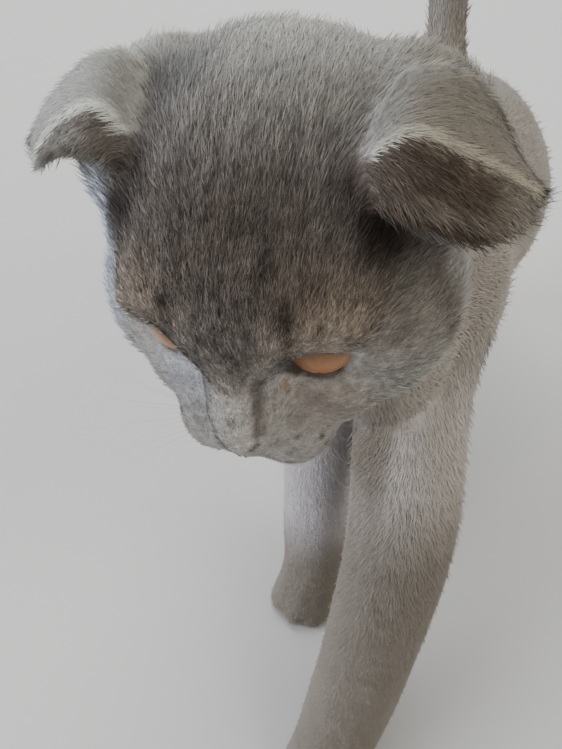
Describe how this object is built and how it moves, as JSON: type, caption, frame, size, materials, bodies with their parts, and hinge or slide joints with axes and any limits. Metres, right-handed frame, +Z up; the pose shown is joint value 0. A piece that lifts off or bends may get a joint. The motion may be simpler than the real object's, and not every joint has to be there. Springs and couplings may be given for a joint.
{
  "type": "scottish fold cat",
  "caption": "Life-size standing cat with folded ears, head lowered, one forefoot stepped forward and the tail raised.",
  "frame": {"origin": "on the floor under the middle of the bounding box", "axes": "the cat faces -Y, its left side is +X, +Z is up"},
  "size_m": [0.1798, 0.5626, 0.449],
  "materials": {
    "coat": "short plush blue-grey fur",
    "eye": "glossy copper iris under a clear cornea",
    "nose_leather": "satin dark grey skin"
  },
  "bodies": {
    "root": {"head": "coat", "neck": "coat", "torso": "coat", "tail_root": "coat", "tail_tip": "coat", "foreleg_left": "coat", "foreleg_right": "coat", "hindleg_left": "coat", "hindleg_right": "coat", "ear_left": "coat", "ear_right": "coat", "eye_left": "eye", "eye_right": "eye", "nose": "nose_leather"}
  },
  "joints": []
}
